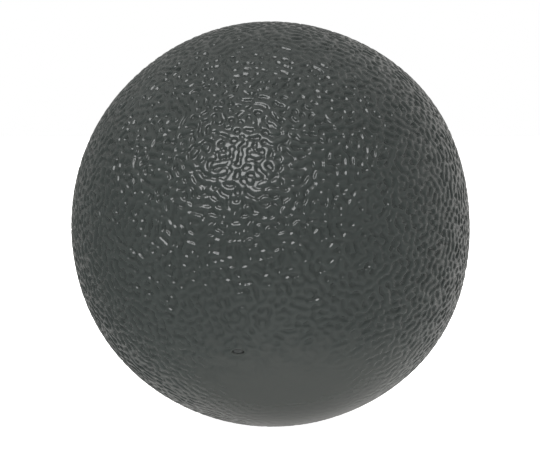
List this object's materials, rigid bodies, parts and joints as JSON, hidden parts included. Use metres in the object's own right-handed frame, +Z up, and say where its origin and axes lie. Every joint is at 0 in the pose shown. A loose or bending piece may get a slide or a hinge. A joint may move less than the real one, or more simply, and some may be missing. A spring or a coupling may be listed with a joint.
{
  "type": "case opening friction ball",
  "caption": "Inflatable rubber friction ball with a pebbled grip surface and a needle valve, pressed on a screw-back watch case to turn its back by hand.",
  "frame": {"origin": "middle of the flat that the ball's own weight presses at its foot, on the surface it stands on", "axes": "+Z up, through the ball's centre; the needle port faces -Y, below the middle and a little to the -X side"},
  "size_m": [0.065, 0.065, 0.0648],
  "materials": {
    "cover_rubber": "moulded friction rubber with a fine worm-like grain, satin ridges and duller grooves, and one smooth matt pad",
    "tape_rubber": "matt buffed strip",
    "bladder_rubber": "smooth matt butyl",
    "patch_fabric": "rubberised plain weave",
    "valve_body_rubber": "smooth satin moulding",
    "valve_core_rubber": "soft satin rubber with a trace of glycerine"
  },
  "bodies": {
    "root": {"cover_valve_half": "cover_rubber", "cover_plain_half": "cover_rubber", "joint_tape": "tape_rubber", "bladder": "bladder_rubber", "valve_patch": "patch_fabric", "valve_body": "valve_body_rubber", "valve_core": "valve_core_rubber"}
  },
  "joints": []
}
